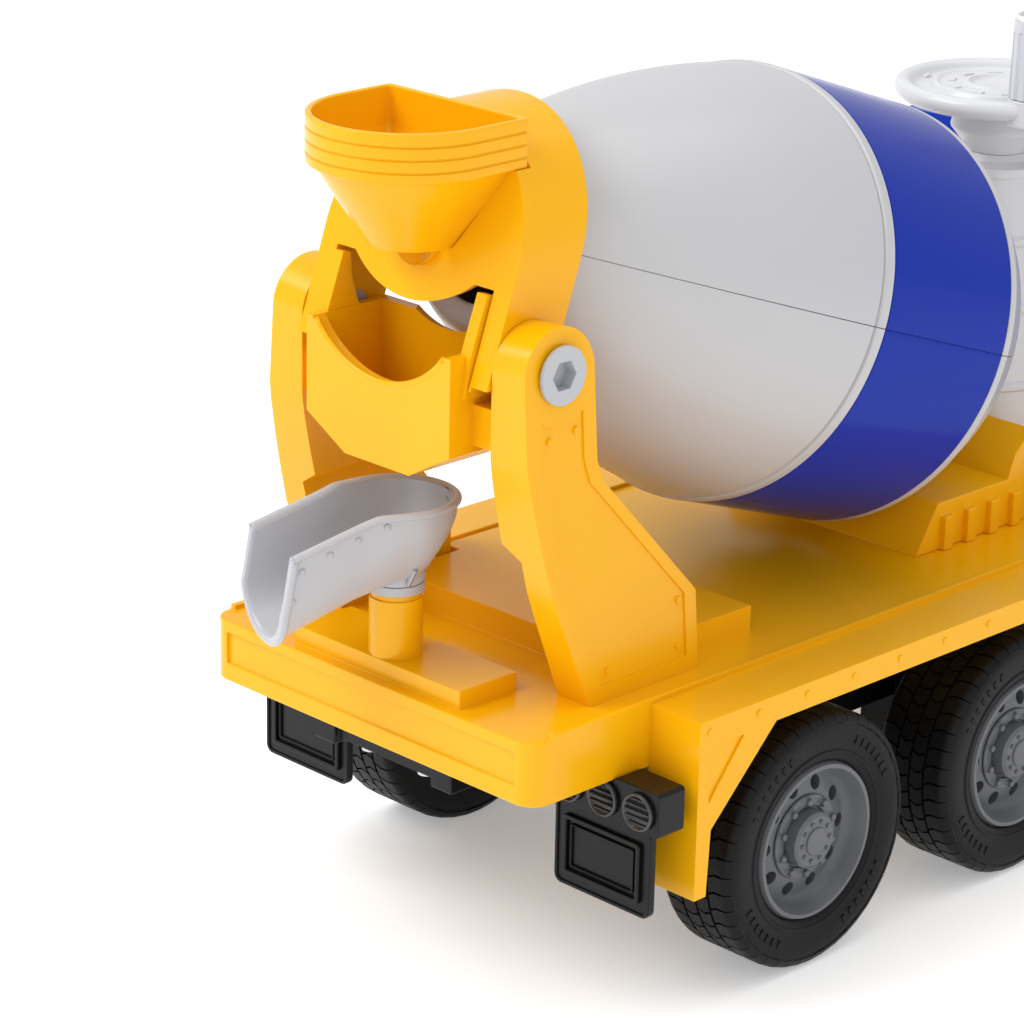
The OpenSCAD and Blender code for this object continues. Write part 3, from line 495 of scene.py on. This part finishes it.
def hopper_loop(r, z, mix=0.0):
    """The D-shaped plan of half-width r, mixed toward the round spout."""
    fx = HOP_FRONT - (HOP_R - r)
    spout_r = 15.0 if r > 30 else 12.8
    pts = []
    for i in range(49):
        t = math.radians(90 + 180 * i / 48)
        pts.append((90 + 180 * i / 48, HOP_X + r * math.cos(t), r * math.sin(t)))
    pts += [(270, HOP_X + (fx - CORNER_R - HOP_X) * t, -r) for t in (0.35, 0.7)]
    pts += corner(fx - CORNER_R, -r + CORNER_R, 270)
    pts += [(0, fx, (-r + CORNER_R) + 2 * (r - CORNER_R) * t) for t in (0.2, 0.4, 0.6, 0.8)]
    pts += corner(fx - CORNER_R, r - CORNER_R, 0)
    pts += [(90, HOP_X + (fx - CORNER_R - HOP_X) * t, r) for t in (0.7, 0.35)]
    out = []
    for q, x, y in pts:
        cx = SPOUT_X + spout_r * math.cos(math.radians(q))
        cy = spout_r * math.sin(math.radians(q))
        out.append((x + (cx - x) * mix, y + (cy - y) * mix, z))
    return out


def hopper_part():
    """Band with three grooves, cone down to the spout, and the inside face back up."""
    plan = [(32.2, 302.4), (32.8, 302.15), (HOP_R, 301.6)]
    for z in (298.15, 293.95, 289.75):
        plan += [(HOP_R, z + 0.12), (32.45, z - 0.1), (32.45, z - 0.5), (HOP_R, z - 0.75)]
    plan += [(HOP_R, 286.4), (32.7, 286.05), (32.0, 286.0)]
    loops = [hopper_loop(r, z) for r, z in plan]
    for k in range(15):
        t = k / 14
        bulge = 0.9 * math.sin(math.pi * t) ** 1.2 if 0 < t < 1 else 0.0
        loops.append(hopper_loop(30.6 + bulge * (1 - t), 286.0 - 27.4 * t, t))
    loops.append(hopper_loop(28.4, 258.45, 1.0))
    for k in range(12):
        t = 1 - k / 11
        loops.append(hopper_loop(29.0, 287.0 - 28.0 * t, t))
    loops += [hopper_loop(r, z) for r, z in ((30.4, 290), (30.7, 301.6), (30.9, 302.15), (31.5, 302.4))]
    n = len(loops[0])
    faces = []
    for i in range(len(loops)):
        a, b = i * n, (i + 1) % len(loops) * n
        faces += [(a + k, a + (k + 1) % n, b + (k + 1) % n, b + k) for k in range(n)]
    return [q for loop in loops for q in loop], faces


make("hopper_funnel", hopper_part(), "yellow_plastic", "truck", stands_for=("hopper",),
     matrix=deck_matrix(), width=0.12, segments=1, angle=38)

# ------------------------------------------------------------------ chute

CHUTE_M = deck_matrix(14, 0, 0) @ turned(162)
BOWL_R = 20.2
BOWL_D = 25.4
CHANNEL_R = 17.6
CHANNEL_D = 18.4
CHUTE_END = 49.0
CHUTE_WALL = 1.9
RIM_Z = 172.0
ROUND_SHARE = 0.72  # share of a section that is its round bottom
ACROSS = [-1 + 2 * i / 48 for i in range(49)]


def smooth_step(x):
    x = min(1.0, max(0.0, x))
    return x * x * (3 - 2 * x)


def chute_top(a):
    return RIM_Z if a < 14.5 else RIM_Z - 10.0 * (a - 14.5) / 31.0


def chute_point(a, u):
    """Point of the channel skin: a runs along it, u from rim to rim through the bottom."""
    if a < 0:
        w = math.sqrt(max(0.02, BOWL_R * BOWL_R - a * a))
        d = max(0.1, BOWL_D * (1 - (-a / BOWL_R) ** 1.7))
        zc = 168.0
    else:
        k = smooth_step(a / 22.0)
        w = BOWL_R + (CHANNEL_R - BOWL_R) * k
        d = BOWL_D + (CHANNEL_D - BOWL_D) * k
        zc = 168.0 - 5.0 * k - (a * a / 12.0 if a < 6 else a - 3.0) * 0.37
    e = abs(u)
    if e > ROUND_SHARE:
        f = (e - ROUND_SHARE) / (1 - ROUND_SHARE)
        return (a, math.copysign(w, u), zc + (chute_top(a) - zc) * f)
    ang = math.pi / 2 * e / ROUND_SHARE
    return (a, math.copysign(w * math.sin(ang), u), zc - d * math.cos(ang))


def chute_row(t, run, inset=0.0):
    """One section of the channel, pushed inward by the wall for its inside face."""
    row = []
    for u in ACROSS:
        e = abs(u)
        a = t
        if run:
            a = t * (CHUTE_END - (1.0 * (1 - e / 0.62) if e <= 0.62 else 3.5 * (e - 0.62) / 0.38))
        x, y, z = chute_point(a, u)
        if inset:
            ang = math.pi / 2 * min(1.0, e / ROUND_SHARE)
            y -= math.copysign(inset * math.sin(ang), u)
            z += inset * math.cos(ang) if e < ROUND_SHARE else 0.0
            if a < 0:
                x += inset * (-a / BOWL_R) ** 2
        row.append((x, y, z))
    return row


def chute_rows(inset=0.0):
    rows = [chute_row(-BOWL_R * math.cos(math.pi / 2 * i / 20), False, inset) for i in range(21)]
    return rows + [chute_row(i / 30, True, inset) for i in range(1, 31)]


def chute_skin():
    outside = chute_rows()
    rows = outside + chute_rows(CHUTE_WALL)
    n, m = len(ACROSS), len(outside)
    faces = []
    for start, flip in ((0, False), (m, True)):
        for i in range(start, start + m - 1):
            for k in range(n - 1):
                q = (i * n + k, i * n + k + 1, (i + 1) * n + k + 1, (i + 1) * n + k)
                faces.append(tuple(reversed(q)) if flip else q)
    for i in range(m - 1):
        for k in (0, n - 1):
            faces.append((i * n + k, (i + 1) * n + k, (m + i + 1) * n + k, (m + i) * n + k))
    for k in range(n - 1):
        for i in (0, m - 1):
            faces.append((i * n + k, i * n + k + 1, (m + i) * n + k + 1, (m + i) * n + k))
    return [q for r in rows for q in r], faces


def chute_trim():
    """Rolled rim, rivets, and the foot with its gussets."""
    rows = chute_rows()
    bowl = []
    for q in range(96, 265, 4):
        bowl.append((BOWL_R * math.cos(math.radians(q)), BOWL_R * math.sin(math.radians(q)), RIM_Z))
    one = [r[0] for r in rows if r[0][0] > 1.0]
    other = [r[-1] for r in rows if r[-1][0] > 1.0]
    path = list(reversed(other)) + bowl + one
    if path[0][1] * bowl[0][1] < 0:
        path = list(reversed(one)) + bowl + other
    parts = [sweep([(x, y, z - 0.5) for x, y, z in path], round_section(1.5, 1.25))]
    end_lip = [(x - 1.2, y, z) for x, y, z in rows[-1]]
    parts.append(sweep(end_lip, round_section(1.25, 1.35), up=Vector((1, 0, 0))))
    rivet = lathe([(0.02, 0.0), (1.25, 0.0), (1.25, 0.35), (0.95, 0.65), (0.5, 0.8), (0.02, 0.82)], 16)
    for s in (-1, 1):
        for a, z in ((12, 168.6), (22, 165.0), (32, 161.4), (42, 157.0), (45.4, 147.0)):
            w = abs(chute_point(a, 0.85)[1]) - 0.15
            parts.append(moved(rivet, Matrix.Translation((a, s * w, z)) @ turned(-90 * s, axis="X")))
    parts.append(lathe([(0.1, 142.45), (9.4, 142.45), (9.7, 142.9), (9.7, 144.0), (9.2, 146.5), (9.4, 149),
                        (0.1, 149)], 48))
    parts.append(prism([(-16.5, 152), (-9.6, 142.9), (-9.0, 142.9), (-9.0, 153)], -0.8, 0.8))
    parts.append(prism([(19, 150), (9.6, 142.9), (9.0, 142.9), (9.0, 151)], -0.8, 0.8))
    for s in (-1, 1):
        gusset = prism([(9.0, 142.9), (9.8, 142.9), (15.5, 150.5), (9.0, 151)], -0.8, 0.8)
        parts.append(moved(gusset, turned(90 * s)))
    return join(parts)


make("chute_channel", chute_skin(), "light_grey_plastic", "chute_arm", stands_for=("chute",), matrix=CHUTE_M)
make("chute_rim", chute_trim(), "light_grey_plastic", "chute_arm", matrix=CHUTE_M)

# ------------------------------------------------------- deck to fender wall


def fender_returns():
    """Closes the corner between the deck's rear block and the fender's rear wall."""
    parts = []
    for s in (-1, 1):
        y0, y1 = span(s, 72, 79.98)
        parts.append(block((46.0, y0, 87.8), (56.2, y1, 101.2)))
        y0, y1 = span(s, 74, 78)
        parts.append(block((50.4, y0, 86.9), (54.7, y1, 88.4)))
    return join(parts)


make("fender_returns", fender_returns(), "yellow_plastic", "truck", matrix=deck_matrix(), width=0.15)

# ------------------------------------------------------ trough lip and spout

LIP_R = 39.6
LIP_Z = 252.8
SPOUT_Z = 260.4


def trough_lip():
    """Rolled edge along the curved lip of the trough."""
    path = []
    for i in range(33):
        t = math.radians(-51.5 + 103 * i / 32)
        path.append((5.4, LIP_R * math.sin(t), LIP_Z - LIP_R * math.cos(t)))
    return sweep(path, round_section(1.35, 1.1), up=Vector((1, 0, 0)))


def spout_liner():
    """Gutter under the hopper spout, open above."""
    around = [math.radians(a) for a in range(196, 345, 4)]
    n = len(around)
    section = ((19.5, 9.95), (19.5, 9.3), (33, 8.7), (33, 9.95))
    verts = [(x, r * math.cos(a), SPOUT_Z + r * math.sin(a)) for x, r in section for a in around]
    faces = []
    for j in range(4):
        a, b = j * n, (j + 1) % 4 * n
        faces += [(a + i, a + i + 1, b + i + 1, b + i) for i in range(n - 1)]
    faces += [(0, n, 2 * n, 3 * n), (n - 1, 2 * n - 1, 3 * n - 1, 4 * n - 1)]
    return verts, faces


make("trough_lip", join([trough_lip(), spout_liner()]), "yellow_plastic", "truck", matrix=deck_matrix())

# ---------------------------------------------- mud flaps with the lamp boxes


def flap_part(s):
    """Flap with three raised borders, under a lamp box in two widths."""
    parts = []
    y0, y1 = span(s, 52.2, 96.2)
    parts.append(prism(rounded((y0, 41.5), (y1, 76), 3.2), 40.2, 42.6, axis="x"))
    parts.append(frame_ring((y0, 41.5), (y1, 73.8), 3.2, 1.3, 39.5, 40.6))
    y0, y1 = span(s, 56.4, 92.0)
    parts.append(frame_ring((y0, 46.0), (y1, 68.0), 1.6, 1.8, 38.7, 40.6))
    y0, y1 = span(s, 59.4, 89.0)
    parts.append(frame_ring((y0, 49.0), (y1, 65.0), 1.0, 0.9, 39.2, 40.6))
    for near, far, top in ((80.2, 101, 89), (51, 81, 87.5)):
        y0, y1 = span(s, near, far)
        parts.append(prism(rounded((y0, 73), (y1, top), 1.6), 37.9, 50.4, axis="x"))
    return join(parts)


for side, s in SIDES:
    make("rear_flap_" + side, flap_part(s), "black_plastic", "truck", stands_for=("rear_guard_" + side,),
         matrix=deck_matrix(), width=0.4)

# ------------------------------------------------------------- rear lamps

LAMP_X = 36.4
LAMP_Z = 80.6
LAMP_PITCH = 16.2
SLAT_PITCH = 2.15


def lamp_louvres():
    """Six round lamps, each a ring with five slanted slats."""
    ring = lathe([(5.7, -0.2), (6.3, -0.3), (6.6, 0.1), (6.6, 1.4), (0.1, 1.6), (0.1, 1.1), (5.5, 1.1)], 48)
    parts = []
    for s in (-1, 1):
        for i in range(3):
            place = Matrix.Translation((LAMP_X, s * (92.4 - LAMP_PITCH * i), LAMP_Z))
            parts.append(moved(ring, place @ turned(90, axis="Y")))
            for k in range(-2, 3):
                z0 = k * SLAT_PITCH
                half = math.sqrt(5.75 ** 2 - z0 * z0) - 0.1
                slat = [(1.3, z0 - 0.95), (-0.1, z0 + 0.1), (0.0, z0 + 0.45), (1.4, z0 + 0.55)]
                parts.append(moved(prism(slat, -half, half), place))
    return join(parts)


make("rear_lamp_louvres", lamp_louvres(), "lamp_plastic", "truck", stands_for=("rear_lamps",),
     matrix=deck_matrix())

# ------------------------------------------------------------ crank wheel

CRANK_X = 327.0
KNOB_ANGLE = -124
KNOB_REACH = 34.2


def crank_part():
    """Dished disc with a thick rolled rim, raised rings, small bars and the knob's post."""
    under = [(4.1, 258.0), (8.8, 257.8), (9.2, 258.2), (9.4, 261.6), (31, 262.2), (34.4, 261.6),
             (35.4, 259.9)]
    rim = [(36.4, 259.3), (37.6, 259.5), (39.1, 260.7), (40.2, 262.2), (40.6, 263.7), (40.3, 265.2),
           (39.4, 266.3), (38.0, 267.0), (36.4, 266.9), (35.0, 266.2), (34.2, 265.0), (33.6, 263.9)]
    dish = [(32.8, 263.5), (27.0, 263.5), (26.4, 263.9), (25.9, 265.4), (25.2, 266.2), (24.3, 266.2),
            (23.7, 265.6), (23.0, 265.2), (14.6, 265.2), (14.0, 265.6), (13.4, 266.4), (12.3, 266.4),
            (11.8, 265.6), (11.2, 264.9), (0.1, 264.8), (0.1, 262.5), (4.1, 262.5)]
    parts = [lathe(under + rim + dish, 120)]
    parts += [moved(rect(1.3, 2.6, 265.0, 265.9), turned(36 * k + 10, 18.9)) for k in range(10)]
    parts += [moved(rect(0.9, 2.2, 263.3, 264.6), turned(72 * k + 30, 31.6)) for k in range(5)]
    post = lathe([(0.1, 256.9), (7.6, 256.9), (8.3, 257.5), (8.4, 258.4), (8.4, 267.0), (8.0, 267.5),
                  (3.2, 267.6), (2.9, 268.0), (2.9, 290.0), (0.1, 290.0)], 56)
    parts.append(moved(post, turned(KNOB_ANGLE, KNOB_REACH)))
    return join(parts)


# Painted light: the crank disc is white plastic by its slot, but it gets the lighter copy of that plastic
make("crank_disc", crank_part(), "white_plastic_lit_copy", "crank", slot="white_plastic", stands_for=("crank_wheel",),
     matrix=deck_matrix(CRANK_X, 0, 0), width=0.25, segments=2, angle=50)

# ------------------------------------------------------------------ camera

CAMERA_AT = P(-767.162, -836.006, 574.276)
AZIMUTH, ELEVATION, ROLL = (math.radians(a) for a in (-44.978, 19.608, 1.150))
LENS = 128.181445  # mm, on a sensor 36 mm wide


def add_camera():
    back = Vector((
        math.sin(AZIMUTH) * math.cos(ELEVATION),
        -math.cos(AZIMUTH) * math.cos(ELEVATION),
        math.sin(ELEVATION),
    ))
    level = (-back).cross(Vector((0, 0, 1))).normalized()
    up = level.cross(-back)
    right = math.cos(ROLL) * level + math.sin(ROLL) * up
    up = -math.sin(ROLL) * level + math.cos(ROLL) * up
    data = bpy.data.cameras.new("camera")
    data.sensor_width = 36.0
    data.lens = LENS
    data.clip_start = 0.05
    data.clip_end = 50.0
    cam = bpy.data.objects.new("camera", data)
    scene.collection.objects.link(cam)
    turn = Matrix((right, up, back)).transposed().to_4x4()
    cam.matrix_world = Matrix.Translation(CAMERA_AT) @ turn
    scene.camera = cam


add_camera()

# ------------------------------------------------------------------- stage

FLOOR_HALF = 14.0
FLOOR_DROP = 0.0002  # keeps the floor clear of the tyres' lowest faces
WORLD_LIGHT = 0.75


def floor_material():
    """Matt near-white with a little light of its own, so that it stays pale."""
    m = bpy.data.materials.new("floor")
    m.use_nodes = True
    b = m.node_tree.nodes["Principled BSDF"]
    b.inputs["Base Color"].default_value = (0.93, 0.93, 0.93, 1)
    b.inputs["Roughness"].default_value = 0.9
    b.inputs["Specular IOR Level"].default_value = 0.1
    b.inputs["Emission Color"].default_value = (1, 1, 1, 1)
    b.inputs["Emission Strength"].default_value = 0.3
    return m


def add_floor():
    bm = bmesh.new()
    bmesh.ops.create_grid(bm, x_segments=8, y_segments=8, size=FLOOR_HALF)
    data = bpy.data.meshes.new("floor")
    bm.to_mesh(data)
    bm.free()
    o = bpy.data.objects.new("floor", data)
    scene.collection.objects.link(o)
    o.location.z = -FLOOR_DROP
    data.materials.append(floor_material())


def add_world():
    world = bpy.data.worlds.new("studio")
    scene.world = world
    world.use_nodes = True
    background = world.node_tree.nodes["Background"]
    background.inputs["Color"].default_value = (1.0, 1.0, 1.0, 1)
    background.inputs["Strength"].default_value = WORLD_LIGHT


def area(name, loc, target, size, power):
    """Rectangular lamp in metres and watts, aimed at a target."""
    d = bpy.data.lights.new(name, "AREA")
    d.shape = "RECTANGLE"
    d.size, d.size_y = size
    d.energy = power
    o = bpy.data.objects.new(name, d)
    scene.collection.objects.link(o)
    o.location = loc
    o.rotation_mode = "QUATERNION"
    o.rotation_quaternion = (Vector(target) - Vector(loc)).to_track_quat("-Z", "Y")


add_floor()
add_world()
area("key", (-1.4, 0.9, 1.7), (0, 0, 0.12), (1.5, 1.2), 27)
area("fill", (-0.9, -2.0, 0.9), (0, 0, 0.12), (1.4, 1.4), 4)
area("top", (0.3, -0.2, 2.2), (0, 0, 0.1), (1.8, 1.8), 11)

scene.view_settings.view_transform = "Standard"
scene.view_settings.look = "None"
scene.view_settings.exposure = 0.0
